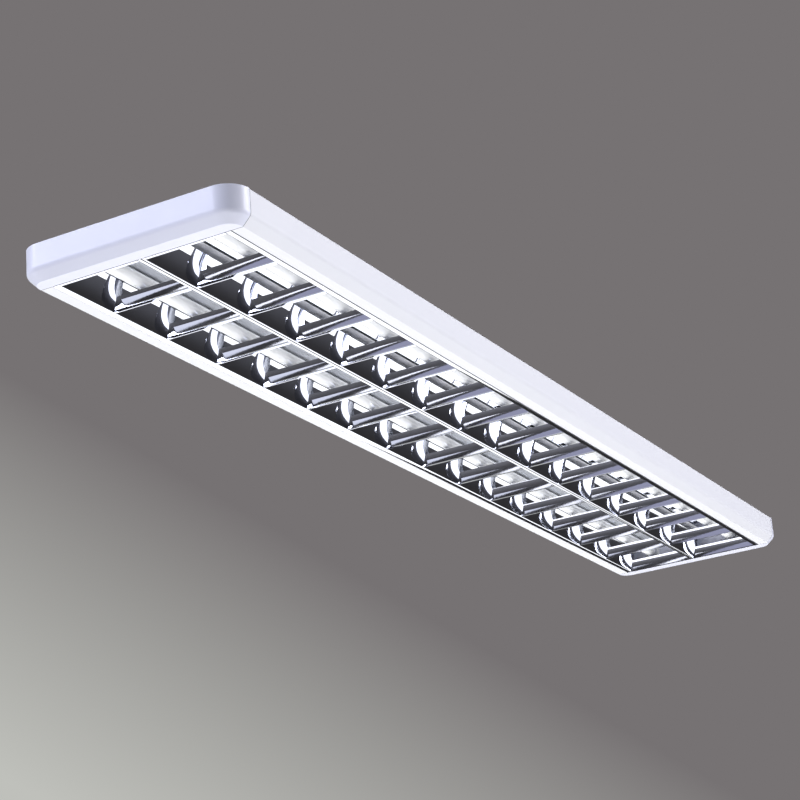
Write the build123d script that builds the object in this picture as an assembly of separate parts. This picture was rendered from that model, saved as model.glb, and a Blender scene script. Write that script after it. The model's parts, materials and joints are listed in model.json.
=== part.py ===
import os
from math import atan2, cos, degrees, radians, sin, sqrt

from build123d import *

# Slim ceiling light with a mirror louvre, hung under a ceiling.
# Units are millimetres. The origin is the centre of the back face, which lies on the ceiling.
# X runs along the light, Y across it and Z up, so the light hangs from 0 down to -height.
# "near" and "far" are the sides at -Y and +Y, "left" and "right" are the ends at -X and +X.

# Overall sizes. The lamp decides the length: 1449 mm between the faces of its end caps.
lamp_length = 1449.0
end_room = 21.5
width = 263.0
height = 38.0
corner_radius = 26.0
chamfer_size = 10.0
chamfer_bend_radius = 8.0
fold_radius = 1.2
side_lip = 14.0
end_lip = 17.5

# Sheet and wall thicknesses
tray_sheet = 0.7
cap_wall = 2.0
mirror_sheet = 0.4
top_mirror_sheet = 0.3
bracket_sheet = 1.0

# End caps
cap_joint = 0.15
cap_tongue_gap = 0.15
cap_tongue_wall = 1.2
cap_tongue_reach = 10.0
cap_tongue_root = 4.0
cap_boss_radius = 4.0
cap_boss_bore_depth = 12.0
cap_screw_radius = 1.5
cap_screw_hole_gap = 0.3
cap_screw_head_radius = 3.2
cap_screw_head = 2.2
cap_screw_slot = 0.8
cap_screw_tip_gap = 1.0
cap_screw_inset = 15.5
cap_screw_drop = 14.0

# Louvre
cell_count = 15
louvre_gap = 0.8
flange_width = 6.4
blade_height = 14.5
blade_half_width = 7.0
blade_bottom_angle = 10.0
blade_foot_half = 0.6
blade_end_gap = 0.15
reflector_height = 27.0
side_bottom_angle = 20.0
side_top_angle = 50.0
spine_bottom_angle = 22.0
spine_top_angle = 55.0
spine_half_width = 3.4
spine_seam = 0.4
joiner_half_width = 2.6
joiner_height = 6.0
end_flange = 2.7

# Lamps: 16 mm tubes with two pins at each end
lamp_radius = 8.0
lamp_glass = 0.8
lamp_cap_wall = 0.25
lamp_cap_length = 8.0
lamp_cap_face = 1.0
pin_radius = 1.18
pin_length = 7.1
pin_spacing = 4.75
lamp_inset = 35.3
lamp_drop = 12.0
lamp_end_gap = 0.5

# Lampholders, each with a rotor that turns with the lamp's pins
holder_flange_size = 21.6
holder_flange = 2.0
holder_size = 19.6
holder_depth = 8.0
rotor_radius = 7.0
rotor_length = 8.0
rotor_slot = 2.8
rotor_slot_depth = 7.4
rotor_end_gap = 0.2
running_fit = 0.05
cutout_gap = 0.2
bracket_drop = 26.0
bracket_margin = 5.0
bracket_foot_length = 24.0
bracket_foot_width = 52.0
bracket_stud_spacing = 36.0
bracket_stud_inset = 16.0
back_tab_inset = 27.5
back_tab_gap = 0.3
holder_chamfer = 1.5
holder_wire_offset = 7.6
holder_wire_depth = 5.0

# Mirror strips above the lamps
top_mirror_inner_y = 30.0
top_mirror_side_gap = 0.8
top_mirror_depth = 2.6
top_mirror_end_gap = 0.5

# Ballast and fixings
ballast_length = 360.0
ballast_width = 30.0
ballast_height = 20.0
ballast_sheet = 0.6
ballast_tab = 14.0
ballast_side_gap = 1.0
board_thickness = 1.6
board_margin = 1.0
board_drop = 6.0
plug_length = 20.0
plug_width = 22.0
plug_height = 11.0
plug_gap = 0.2
plug_holes = 6
plug_hole_depth = 10.0
core_shares = (-0.17, 0.08)
core_length = 24.0
core_width = 20.0
core_height = 9.0
winding_length = 34.0
winding_radius = 4.5
capacitor_shares = (-0.31, -0.055, 0.21)
capacitor_length = 22.0
capacitor_radius = 5.0
filter_shares = (0.31, 0.365)
filter_length = 8.0
filter_width = 16.0
filter_height = 9.0
stud_radius = 2.0
stud_length = 7.0
stud_hole_gap = 0.3
nut_across = 7.0
nut_height = 3.2
nut_gap = 0.02

# Ceiling fixing and cable entry
fixing_spacing = 1000.0
fixing_slot_width = 6.0
fixing_slot_length = 12.0
entry_radius = 10.0
grommet_fit = 0.1
grommet_bore_radius = 6.0
grommet_flange_radius = 12.5
grommet_flange = 1.6

# Mains terminals on the centre line
terminal_x = -60.0
terminal_length = 40.0
terminal_width = 18.0
terminal_height = 15.0
terminal_pole_count = 3
terminal_screw_radius = 1.9
terminal_well_radius = 2.3
terminal_well_depth = 5.0
terminal_wire_radius = 1.6
terminal_wire_drop = 8.5
terminal_screw_height = 2.4
terminal_slot = 0.6
terminal_slot_depth = 0.8
terminal_groove = 1.2
terminal_groove_depth = 2.0
earth_x = 60.0
earth_tag = 12.0
earth_tag_sheet = 0.8
earth_tag_width = 4.8
earth_ring_margin = 0.8
clamp_x = 30.0
clamp_span = 28.0
clamp_width = 9.0
clamp_sheet = 2.0
clamp_bore = 8.0
clamp_screw_inset = 4.0
clamp_head_radius = 2.8
clamp_head = 1.8
clamp_slot = 0.7
clamp_slot_depth = 0.9

# Wires inside the light
wire_radius = 0.9
wire_gap = 0.05
wire_bend = 8.0
wire_lead = 12.0
wire_climb = 24.0
wire_lane_inset = 4.8
wire_column_inset = 3.0
wire_lane_pitch = 2.6
wire_corner_bend = 19.0
wire_drop_high = 4.2
wire_drop_low = 7.0
mains_lane_y = 20.0
mains_lane_pitch = 3.5
mains_drop = 1.85
mains_climb = 40.0
mains_cross_gap = 44.0
mains_cross_pitch = 7.0
mains_cross_bend = 6.0
mains_notch_margin = 5.0
mains_end_y = 2.0
earth_lane_y = 22.0
earth_end_y = 6.0

# Louvre hinges on the far side and spring catches on the near side
hinge_spacing = 900.0
hinge_pin_radius = 0.7
hinge_eye_radius = 1.3
hinge_pin_length = 13.0
hinge_edge_distance = 1.7
hinge_tab_width = 5.0
hinge_tab_sheet = 1.4
hinge_side_gap = 0.5
hinge_ear_sheet = 0.8
hinge_ear_half = 1.5
hinge_notch_gap = 0.4
hem_height = 4.0
over_hem_gap = 0.5
fixing_foot = 5.0
fixing_foot_sheet = 1.0
catch_spacing = 1000.0
catch_tongue_width = 8.0
catch_tongue_height = 6.5
catch_tongue_sheet = 0.8
catch_leaf = 0.5
catch_gap = 0.15
catch_edge_distance = 3.2
catch_leaf_rise = 1.3

# How far a cut runs past the face it starts from
over = 1.0

# Values worked out from the sizes above
length = lamp_length + 2 * end_room
opening_half_x = length / 2 - chamfer_size - end_lip
opening_half_y = width / 2 - chamfer_size - side_lip
pitch = 2 * opening_half_x / cell_count
louvre_half_x = opening_half_x - louvre_gap
louvre_half_y = opening_half_y - louvre_gap
reflector_foot_y = louvre_half_y - flange_width
lamp_offset = reflector_foot_y - lamp_inset
lip_z = -height
flange_top_z = lip_z + mirror_sheet
tray_inside_z = -tray_sheet
lip_inside_z = lip_z + tray_sheet
tray_inside_y = width / 2 - tray_sheet
lamp_z = -lamp_drop
lamp_face_x = lamp_length / 2
holder_face_x = lamp_face_x + lamp_end_gap
bracket_x = holder_face_x + holder_flange
bracket_stud_x = bracket_x - bracket_stud_inset
cap_screw_y = width / 2 - cap_screw_inset
cap_screw_z = -cap_screw_drop
ballast_y = tray_inside_y - ballast_side_gap - ballast_width / 2
ballast_stud_x = (ballast_length + ballast_tab) / 2
ballast_bottom_z = tray_inside_z - ballast_height
top_mirror_outer_y = ballast_y - ballast_width / 2 - top_mirror_side_gap
back_tab_half = width / 2 - back_tab_inset
mains_cross_x = -(ballast_length / 2 + mains_cross_gap)
terminal_wire_z = tray_inside_z - terminal_wire_drop
hinge_y = louvre_half_y - hinge_edge_distance
hinge_z = lip_z + hinge_eye_radius
catch_y = -(louvre_half_y - catch_edge_distance)

os.makedirs("parts", exist_ok=True)


def save(shape, node):
    export_step(shape, "parts/" + node + ".step")


def group(solids):
    """Several separate solids in one node."""
    return Compound(children=list(solids))


def strip(path, thickness, side):
    """Closed section of a sheet that follows a path, thickened to one side."""
    return make_face(path.offset_2d(thickness, side=side, closed=True))


def along_x(section, start, end):
    """Run a section, drawn with Y across and Z up, from one X to another."""
    return extrude(Plane.YZ.offset(start) * section, amount=end - start)


def along_y(section, start, end):
    """Run a section, drawn with X across and Z up, from one Y to another."""
    plane = Plane(origin=(0, end, 0), x_dir=(1, 0, 0), z_dir=(0, -1, 0))
    return extrude(plane * section, amount=end - start)


def block(x0, x1, y0, y1, z0, z1):
    """Box between two corners."""
    middle = Pos((x0 + x1) / 2, (y0 + y1) / 2, (z0 + z1) / 2)
    return middle * Box(abs(x1 - x0), abs(y1 - y0), abs(z1 - z0))


def rod_x(x0, x1, y, z, radius):
    """Round rod along X."""
    return Pos((x0 + x1) / 2, y, z) * Rot(0, 90, 0) * Cylinder(radius, abs(x1 - x0))


def rod_z(x, y, z0, z1, radius):
    """Round rod along Z."""
    return Pos(x, y, (z0 + z1) / 2) * Cylinder(radius, abs(z1 - z0))


def nut(x, y, top):
    """Hexagon nut hung on a stud, with its upper face at a height."""
    section = RegularPolygon(nut_across / 2, 6, major_radius=False) - Circle(stud_radius + nut_gap)
    return Pos(x, y, top) * extrude(section, amount=-nut_height)


def at_both_ends(shape):
    return [shape, mirror(shape, Plane.YZ)]


def at_both_sides(shape):
    return [shape, mirror(shape, Plane.XZ)]


# Folded steel tray: back, sides, chamfers, lips and the hems that stiffen the lips
def tray_path():
    half = width / 2
    side = [
        (half, 0),
        (half, lip_z + chamfer_size),
        (half - chamfer_size, lip_z),
        (opening_half_y, lip_z),
        (opening_half_y, lip_z + hem_height),
    ]
    points = [(-y, z) for y, z in reversed(side)] + side
    half_radii = [fold_radius, chamfer_bend_radius, fold_radius, fold_radius]
    return FilletPolyline(*points, radius=list(reversed(half_radii)) + half_radii)


def tray_studs():
    places = [(end * ballast_stud_x, ballast_y) for end in (-1, 1)]
    places += [(end * bracket_stud_x, side * bracket_stud_spacing / 2) for end in (-1, 1) for side in (-1, 1)]
    places.append((earth_x, 0))
    return places


def body_tray():
    tray = along_x(strip(tray_path(), tray_sheet, Side.RIGHT), -opening_half_x, opening_half_x)
    slot = extrude(SlotOverall(fixing_slot_length, fixing_slot_width), amount=2 * tray_sheet, both=True)
    for end in (-1, 1):
        tray -= Pos(end * fixing_spacing / 2, 0, 0) * slot
    tray -= rod_z(0, 0, -2 * tray_sheet, tray_sheet, entry_radius)
    for end in (-1, 1):
        tray += block(end * opening_half_x, end * (bracket_x + bracket_sheet), -back_tab_half, back_tab_half,
                      -tray_sheet, 0)
    for x, y in tray_studs():
        tray += rod_z(x, y, -stud_length, -tray_sheet / 2, stud_radius)
    return tray


# Moulded end caps: the body's outline with round corners in plan
def cap_form(inset):
    """Block of the light's outline, smaller by an inset on its sides and its bottom."""
    low = lip_z + inset
    half_y = width / 2 - inset
    form = block(0, length / 2 - inset, -half_y, half_y, low, 0)
    corners = form.edges().filter_by(Axis.Z).group_by(Axis.X)[-1]
    form = fillet(corners, corner_radius - inset)
    slope = chamfer_size - inset * (2 - sqrt(2))
    bottom = form.faces().sort_by(Axis.Z)[0]
    rim = [edge for edge in bottom.edges() if edge.center().X > 1]
    form = chamfer(rim, slope)
    bend = [edge for edge in form.edges() if abs(edge.center().Z - low - slope) < 0.01]
    bend = [edge for edge in bend if edge.center().X > 1]
    return fillet(bend, chamfer_bend_radius - inset)


def cap_tongue():
    """Collar that slides into the end of the tray and keeps the joint line straight."""
    inset = tray_sheet + cap_tongue_gap
    half = width / 2 - inset
    slope = chamfer_size + inset * (sqrt(2) - 1)
    side = [(half, -inset), (half, lip_z + slope), (width / 2 - slope, lip_z + inset)]
    points = [(-y, z) for y, z in reversed(side)] + side
    bend = chamfer_bend_radius - inset
    path = FilletPolyline(*points, radius=[bend, fold_radius, fold_radius, bend])
    section = strip(path, cap_tongue_wall, Side.RIGHT)
    return along_x(section, opening_half_x - cap_tongue_reach, opening_half_x + cap_tongue_root)


def end_cap():
    inside = cap_form(cap_wall) - block(-over, length, -width, width, -cap_wall, over)
    cap = cap_form(0) - inside
    cap &= block(opening_half_x + cap_joint, length, -width, width, lip_z - over, over)
    cap += cap_tongue()
    notch = back_tab_half + back_tab_gap
    cap -= block(0, bracket_x + bracket_sheet + back_tab_gap, -notch, notch, -2 * cap_wall, 1)
    boss_start = bracket_x + bracket_sheet
    for side in (-1, 1):
        y = side * cap_screw_y
        cap += rod_x(boss_start, length / 2, y, cap_screw_z, cap_boss_radius) & cap_form(cap_wall / 2)
        cap -= rod_x(boss_start, boss_start + cap_boss_bore_depth, y, cap_screw_z, cap_screw_radius)
    return cap


def cap_screw(side):
    y = side * cap_screw_y
    head = rod_x(bracket_x - cap_screw_head, bracket_x, y, cap_screw_z, cap_screw_head_radius)
    shank_end = bracket_x + bracket_sheet + cap_boss_bore_depth - cap_screw_tip_gap
    screw = head + rod_x(bracket_x, shank_end, y, cap_screw_z, cap_screw_radius)
    slot = block(bracket_x - cap_screw_head, bracket_x - cap_screw_head / 2,
                 y - cap_screw_head_radius, y + cap_screw_head_radius, cap_screw_z - cap_screw_slot / 2,
                 cap_screw_z + cap_screw_slot / 2)
    return screw - slot


# Folded end brackets that carry the lampholders and take the caps' screws
def holder_bracket():
    reach = cap_screw_y + bracket_margin
    back = bracket_x + bracket_sheet
    bracket = block(bracket_x, back, -reach, reach, -bracket_drop, tray_inside_z - cap_wall)
    bracket += block(bracket_x, back, -bracket_foot_width / 2, bracket_foot_width / 2,
                     -bracket_drop, tray_inside_z)
    bracket += block(back - bracket_foot_length, back, -bracket_foot_width / 2, bracket_foot_width / 2,
                     tray_inside_z - bracket_sheet, tray_inside_z)
    half = holder_size / 2 + cutout_gap
    for side in (-1, 1):
        y = side * lamp_offset
        bracket -= block(bracket_x - over, back + over, y - half, y + half, lamp_z - half, lamp_z + half)
        bracket -= rod_x(bracket_x - over, back + over, side * cap_screw_y, cap_screw_z,
                         cap_screw_radius + cap_screw_hole_gap)
        bracket -= rod_z(bracket_stud_x, side * bracket_stud_spacing / 2, -2 * bracket_sheet - tray_sheet, 0,
                         stud_radius + stud_hole_gap)
    return bracket


# Lampholders and their rotors
def lampholder(y):
    back = bracket_x + holder_depth
    flange = holder_flange_size / 2
    half = holder_size / 2
    holder = block(holder_face_x, bracket_x, y - flange, y + flange, lamp_z - flange, lamp_z + flange)
    holder += block(bracket_x, back, y - half, y + half, lamp_z - half, lamp_z + half)
    holder = chamfer(holder.edges().filter_by(Axis.X).group_by(Axis.X)[0], holder_chamfer)
    bore_end = holder_face_x + rotor_length + rotor_end_gap
    holder -= rod_x(holder_face_x - over, bore_end, y, lamp_z, rotor_radius + running_fit)
    holder -= block(holder_face_x - over, holder_face_x + rotor_slot_depth, y - rotor_slot / 2,
                    y + rotor_slot / 2, lamp_z - flange - over, lamp_z)
    for side, z in ((1, -wire_drop_high), (-1, -wire_drop_low)):
        holder -= rod_x(back - holder_wire_depth, back + over, y + side * holder_wire_offset, z,
                        wire_radius + wire_gap)
    return holder


def rotor(y):
    end = holder_face_x + rotor_length
    turned = rod_x(holder_face_x, end, y, lamp_z, rotor_radius)
    turned -= block(holder_face_x - over, holder_face_x + rotor_slot_depth, y - rotor_radius - over,
                    y + rotor_radius + over, lamp_z - rotor_slot / 2, lamp_z + rotor_slot / 2)
    return turned


# Lamps
def lamp_tube(y):
    half = lamp_face_x - lamp_cap_face
    tube = rod_x(-half, half, y, lamp_z, lamp_radius)
    return tube - rod_x(-half - over, half + over, y, lamp_z, lamp_radius - lamp_glass)


def lamp_cap(y):
    cup = rod_x(lamp_face_x - lamp_cap_length, lamp_face_x, y, lamp_z, lamp_radius + lamp_cap_wall)
    cup -= rod_x(0, lamp_face_x - lamp_cap_face, y, lamp_z, lamp_radius)
    for side in (-1, 1):
        cup += rod_x(lamp_face_x - lamp_cap_face / 2, lamp_face_x + pin_length, y + side * pin_spacing / 2,
                     lamp_z, pin_radius)
    return cup


# Louvre: curved mirrors beside and between the lamps
def lean_radius(bottom, top, rise):
    """Radius of an arc that climbs a height while its lean from upright grows between two angles."""
    return rise / (sin(radians(top)) - sin(radians(bottom)))


def leaning_arc(foot, bottom, top, rise, outward):
    """Arc that starts at a foot and leans more as it climbs, towards +Y (1) or -Y (-1)."""
    tangent = (outward * sin(radians(bottom)), cos(radians(bottom)))
    radius = lean_radius(bottom, top, rise)
    return JernArc(foot, tangent, radius, -outward * (top - bottom))


def side_reflector():
    """Far side mirror, with its flange flush with the lip."""
    foot = (reflector_foot_y, lip_z)
    arc = leaning_arc(foot, side_bottom_angle, side_top_angle, reflector_height, -1)
    path = Wire([Line((louvre_half_y, lip_z), foot).edge(), arc.edge()])
    return along_x(strip(path, mirror_sheet, Side.RIGHT), -louvre_half_x, louvre_half_x)


def spine_reflector():
    """Far half of the spine between the two rows."""
    foot = (spine_half_width, lip_z)
    arc = leaning_arc(foot, spine_bottom_angle, spine_top_angle, reflector_height, 1)
    path = Wire([Line((spine_seam / 2, lip_z), foot).edge(), arc.edge()])
    return along_x(strip(path, mirror_sheet, Side.LEFT), -louvre_half_x, louvre_half_x)


def spine_joiner():
    """Channel inside the spine that holds its two halves together."""
    top = flange_top_z + joiner_height
    path = Polyline((-joiner_half_width, top), (-joiner_half_width, flange_top_z),
                    (joiner_half_width, flange_top_z), (joiner_half_width, top))
    return along_x(strip(path, mirror_sheet, Side.LEFT), -louvre_half_x, louvre_half_x)


def trough(start, end):
    """Space between the spine and the far side mirror, less the gap at the blades' ends."""
    inner_foot = (spine_half_width + blade_end_gap, lip_z)
    outer_foot = (reflector_foot_y - blade_end_gap, lip_z)
    inner = leaning_arc(inner_foot, spine_bottom_angle, spine_top_angle, reflector_height, 1)
    outer = leaning_arc(outer_foot, side_bottom_angle, side_top_angle, reflector_height, -1)
    bottom = Line(inner_foot, outer_foot)
    top = Line(outer @ 1, inner @ 1)
    return along_x(make_face(Wire([bottom.edge(), outer.edge(), top.edge(), inner.edge()])), start, end)


def blade_half_section():
    """Right half of a blade's section: a narrow foot and a face that flares to the top."""
    foot = (blade_foot_half, 0)
    rise = blade_height
    chord_lean = degrees(atan2(blade_half_width - blade_foot_half, rise))
    top_lean = 2 * chord_lean - blade_bottom_angle
    arc = leaning_arc(foot, blade_bottom_angle, top_lean, rise, 1)
    path = Wire([Line((0, 0), foot).edge(), arc.edge()])
    return strip(path, mirror_sheet, Side.LEFT)


def cross_blade(x):
    """The near and far halves of one cross blade."""
    half = blade_half_section()
    section = Pos(0, lip_z) * (half + mirror(half, Plane.YZ))
    blade = along_y(section, 0, reflector_foot_y)
    blade &= trough(-blade_half_width - over, blade_half_width + over)
    return group(at_both_sides(Pos(x, 0, 0) * blade))


def end_blade():
    """Sloping end of each row at the right, with a narrow flange beside the end lip."""
    half = mirror(blade_half_section(), Plane.YZ)
    foot_x = louvre_half_x - end_flange
    flange_middle = Pos(louvre_half_x - end_flange / 2, lip_z + mirror_sheet / 2)
    section = Pos(foot_x, lip_z) * half + flange_middle * Rectangle(end_flange, mirror_sheet)
    blade = along_y(section, 0, reflector_foot_y)
    return blade & trough(foot_x - blade_half_width - over, louvre_half_x + over)


# Louvre hinges: a wire pin in two ears on the louvre, held by an eye on the tray
def hinged_side_reflector():
    """Far side mirror with a notch in its flange at each hinge eye."""
    mirror_strip = side_reflector()
    half = hinge_tab_width / 2 + hinge_notch_gap
    inner = hinge_y - hinge_eye_radius - hinge_side_gap
    for end in (-1, 1):
        x = end * hinge_spacing / 2
        mirror_strip -= block(x - half, x + half, inner, louvre_half_y + over, lip_z - over,
                              flange_top_z + over)
    return mirror_strip


def hinge_pin(x):
    return rod_x(x - hinge_pin_length / 2, x + hinge_pin_length / 2, hinge_y, hinge_z, hinge_pin_radius)


def hinge_ears(x):
    ears = []
    inner = hinge_tab_width / 2 + hinge_side_gap
    for side in (-1, 1):
        ear = block(x + side * inner, x + side * (inner + hinge_ear_sheet), hinge_y - hinge_ear_half,
                    hinge_y + hinge_ear_half, flange_top_z, hinge_z + hinge_ear_half)
        bore = rod_x(x - hinge_pin_length, x + hinge_pin_length, hinge_y, hinge_z, hinge_pin_radius)
        ears.append(ear - bore)
    return ears


def over_hem_arm(x, half_width, inner_y, sheet, side):
    """Arm on the tray's lip that reaches over the hem, on the far side (1) or the near side (-1)."""
    hem_top = lip_z + hem_height
    arm_low = hem_top + over_hem_gap
    arm_top = arm_low + sheet
    leg_y = opening_half_y + tray_sheet + over_hem_gap + 2 * fold_radius
    x0 = x - half_width
    x1 = x + half_width
    arm = block(x0, x1, side * inner_y, side * (leg_y + sheet), arm_low, arm_top)
    arm += block(x0, x1, side * leg_y, side * (leg_y + sheet), lip_inside_z, arm_top)
    arm += block(x0, x1, side * leg_y, side * (leg_y + sheet + fixing_foot), lip_inside_z,
                 lip_inside_z + fixing_foot_sheet)
    return arm


def hinge_tab(x):
    half = hinge_tab_width / 2
    leg = hinge_tab_sheet / 2
    tab = over_hem_arm(x, half, hinge_y - leg, hinge_tab_sheet, 1)
    arm_top = lip_z + hem_height + over_hem_gap + hinge_tab_sheet
    tab += block(x - half, x + half, hinge_y - leg, hinge_y + leg, hinge_z, arm_top)
    tab += rod_x(x - half, x + half, hinge_y, hinge_z, hinge_eye_radius)
    return tab - rod_x(x - half - over, x + half + over, hinge_y, hinge_z, hinge_pin_radius + running_fit)


# Spring catches: a tongue on the louvre's near flange, gripped by two leaves on the tray
def catch_tongue(x):
    half = catch_tongue_sheet / 2
    return block(x - catch_tongue_width / 2, x + catch_tongue_width / 2, catch_y - half, catch_y + half,
                 flange_top_z, flange_top_z + catch_tongue_height)


def catch_spring(x):
    half_x = catch_tongue_width / 2
    inner = catch_tongue_sheet / 2 + catch_gap
    low = flange_top_z + catch_leaf_rise
    top = flange_top_z + catch_tongue_height + catch_gap
    spring = over_hem_arm(x, half_x, -catch_y, catch_leaf, -1)
    for side in (-1, 1):
        start = catch_y + side * inner
        spring += block(x - half_x, x + half_x, start, start + side * catch_leaf, low, top)
    outer = inner + catch_leaf
    spring += block(x - half_x, x + half_x, catch_y - outer, catch_y + outer, top, top + catch_leaf)
    return spring - block(x - half_x - over, x + half_x + over, catch_y - inner, catch_y + inner,
                          low - over, top)


# Mirror strips between the lamps and the tray's back
def top_mirror():
    low = tray_inside_z - top_mirror_depth
    path = Polyline((top_mirror_inner_y, tray_inside_z), (top_mirror_inner_y, low),
                    (top_mirror_outer_y, low), (top_mirror_outer_y, tray_inside_z))
    half_x = holder_face_x - top_mirror_end_gap
    strip_mirror = along_x(strip(path, top_mirror_sheet, Side.LEFT), -half_x, half_x)
    notch_start = mains_cross_x - mains_cross_pitch - mains_notch_margin
    return strip_mirror - block(notch_start, mains_cross_x + mains_notch_margin, top_mirror_inner_y - over,
                                top_mirror_outer_y + over, low + top_mirror_sheet, tray_inside_z + over)


# Ballast: base plate with two fixing tabs, folded lid, circuit board, and a plug at each end
def ballast_base():
    half = ballast_length / 2
    top = tray_inside_z
    base = block(-half - ballast_tab, half + ballast_tab, ballast_y - ballast_width / 2,
                 ballast_y + ballast_width / 2, top - ballast_sheet, top)
    for end in (-1, 1):
        base -= rod_z(end * ballast_stud_x, ballast_y, top - 2 * ballast_sheet, top + over,
                      stud_radius + stud_hole_gap)
    return base


def ballast_lid():
    half = ballast_length / 2
    top = tray_inside_z - ballast_sheet
    side = ballast_width / 2
    lid = block(-half, half, ballast_y - side, ballast_y + side, ballast_bottom_z, top)
    wall = ballast_sheet
    lid -= block(-half + wall, half - wall, ballast_y - side + wall, ballast_y + side - wall,
                 ballast_bottom_z + wall, top + over)
    plug_half = plug_width / 2 + plug_gap
    plug_low = board_z() - plug_height - plug_gap
    lid -= block(-half - over, half + over, ballast_y - plug_half, ballast_y + plug_half, plug_low,
                 board_z() + plug_gap)
    return lid


def board_z():
    """Underside of the circuit board, where the parts are fitted."""
    return tray_inside_z - ballast_sheet - board_drop


def ballast_board():
    half = ballast_length / 2 - ballast_sheet - board_margin
    side = ballast_width / 2 - ballast_sheet - board_margin
    return block(-half, half, ballast_y - side, ballast_y + side, board_z(), board_z() + board_thickness)


def ballast_parts():
    """Two wound cores, three capacitors and two filter blocks under the board."""
    z = board_z()
    parts = []
    for share in core_shares:
        x = share * ballast_length
        core = block(x - core_length / 2, x + core_length / 2, ballast_y - core_width / 2,
                     ballast_y + core_width / 2, z - core_height, z)
        winding = rod_x(x - winding_length / 2, x + winding_length / 2, ballast_y, z - core_height / 2,
                        winding_radius)
        parts.append(core + winding)
    for share in capacitor_shares:
        x = share * ballast_length
        parts.append(rod_x(x - capacitor_length / 2, x + capacitor_length / 2, ballast_y,
                           z - capacitor_radius, capacitor_radius))
    for share in filter_shares:
        x = share * ballast_length
        parts.append(block(x - filter_length / 2, x + filter_length / 2, ballast_y - filter_width / 2,
                           ballast_y + filter_width / 2, z - filter_height, z))
    return parts


def plug_hole(number):
    """Y of one wire hole in a ballast plug, counted from 0 at the inner side."""
    return ballast_y + (number - (plug_holes - 1) / 2) * plug_width / (plug_holes + 0.5)


def plug_hole_z():
    return board_z() - plug_height / 2


def ballast_plug(end):
    """Push-in terminal block in one end of the lid, with its row of wire holes."""
    half = ballast_length / 2
    x0 = end * (half - plug_length)
    z = board_z()
    plug = block(x0, end * half, ballast_y - plug_width / 2, ballast_y + plug_width / 2, z - plug_height, z)
    for number in range(plug_holes):
        plug -= rod_x(end * (half - plug_hole_depth), end * (half + over), plug_hole(number), plug_hole_z(),
                      wire_radius + wire_gap)
    return plug


# Mains terminals, earth tag, cable entry and cable clamp
def pole_places():
    step = terminal_length / terminal_pole_count
    return [terminal_x + step * (k - (terminal_pole_count - 1) / 2) for k in range(terminal_pole_count)]


def terminal_block():
    low = tray_inside_z - terminal_height
    side = terminal_width / 2
    body = block(terminal_x - terminal_length / 2, terminal_x + terminal_length / 2, -side, side, low,
                 tray_inside_z)
    for x in pole_places():
        bore = Rot(90, 0, 0) * Cylinder(terminal_wire_radius, terminal_width + 2 * over)
        body -= Pos(x, 0, terminal_wire_z) * bore
        for y in (-side / 2, side / 2):
            body -= rod_z(x, y, low - over, low + terminal_well_depth, terminal_well_radius)
    for x in pole_places()[1:]:
        middle = x - terminal_length / terminal_pole_count / 2
        body -= block(middle - terminal_groove / 2, middle + terminal_groove / 2, -side - over, side + over,
                      low - over, low + terminal_groove_depth)
    return body


def terminal_screws():
    top = tray_inside_z - terminal_height + terminal_well_depth
    low = top - terminal_screw_height
    screws = []
    for x in pole_places():
        for y in (-terminal_width / 4, terminal_width / 4):
            slot = block(x - terminal_well_radius, x + terminal_well_radius, y - terminal_slot / 2,
                         y + terminal_slot / 2, low - over, low + terminal_slot_depth)
            screws.append(rod_z(x, y, low, top, terminal_screw_radius) - slot)
    return screws


def earth_tag_plate():
    """Ring tag on the earth stud, with a tab for the earth wire."""
    top = tray_inside_z
    low = top - earth_tag_sheet
    tag = rod_z(earth_x, 0, low, top, nut_across / 2 + earth_ring_margin)
    tag += block(earth_x - earth_tag_width / 2, earth_x + earth_tag_width / 2, 0, earth_tag, low, top)
    return tag - rod_z(earth_x, 0, low - over, top + over, stud_radius + stud_hole_gap)


def grommet():
    bush = rod_z(0, 0, tray_inside_z - grommet_flange, tray_inside_z, grommet_flange_radius)
    bush += rod_z(0, 0, tray_inside_z, 0, entry_radius - grommet_fit)
    return bush - rod_z(0, 0, tray_inside_z - grommet_flange - over, over, grommet_bore_radius)


def cable_clamp():
    """Saddle that holds the supply cable against the back beside its entry."""
    low = tray_inside_z - clamp_bore - clamp_sheet
    half_x = clamp_width / 2
    bore_half = clamp_bore / 2
    x0 = clamp_x - half_x
    x1 = clamp_x + half_x
    saddle = block(x0, x1, -bore_half - clamp_sheet, bore_half + clamp_sheet, low, tray_inside_z)
    saddle += block(x0, x1, -clamp_span / 2, clamp_span / 2, tray_inside_z - clamp_sheet, tray_inside_z)
    saddle = fillet(saddle.edges().filter_by(Axis.X).group_by(Axis.Z)[0], clamp_sheet)
    return saddle - block(x0 - over, x1 + over, -bore_half, bore_half, low + clamp_sheet,
                          tray_inside_z + over)


def clamp_screws():
    screws = []
    top = tray_inside_z - clamp_sheet
    for side in (-1, 1):
        y = side * (clamp_span / 2 - clamp_screw_inset)
        head = rod_z(clamp_x, y, top - clamp_head, top, clamp_head_radius)
        slot = block(clamp_x - clamp_head_radius - over, clamp_x + clamp_head_radius + over,
                     y - clamp_slot / 2, y + clamp_slot / 2, top - clamp_head - over,
                     top - clamp_head + clamp_slot_depth)
        screws.append(head - slot)
    return screws


# Wires: straight runs joined by arcs, along the routes that keep them clear of the mirrors
def wire(points, bends):
    path = FilletPolyline(*points, radius=bends)
    return sweep(Plane(origin=path @ 0, z_dir=path % 0) * Circle(wire_radius), path=path)


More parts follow.
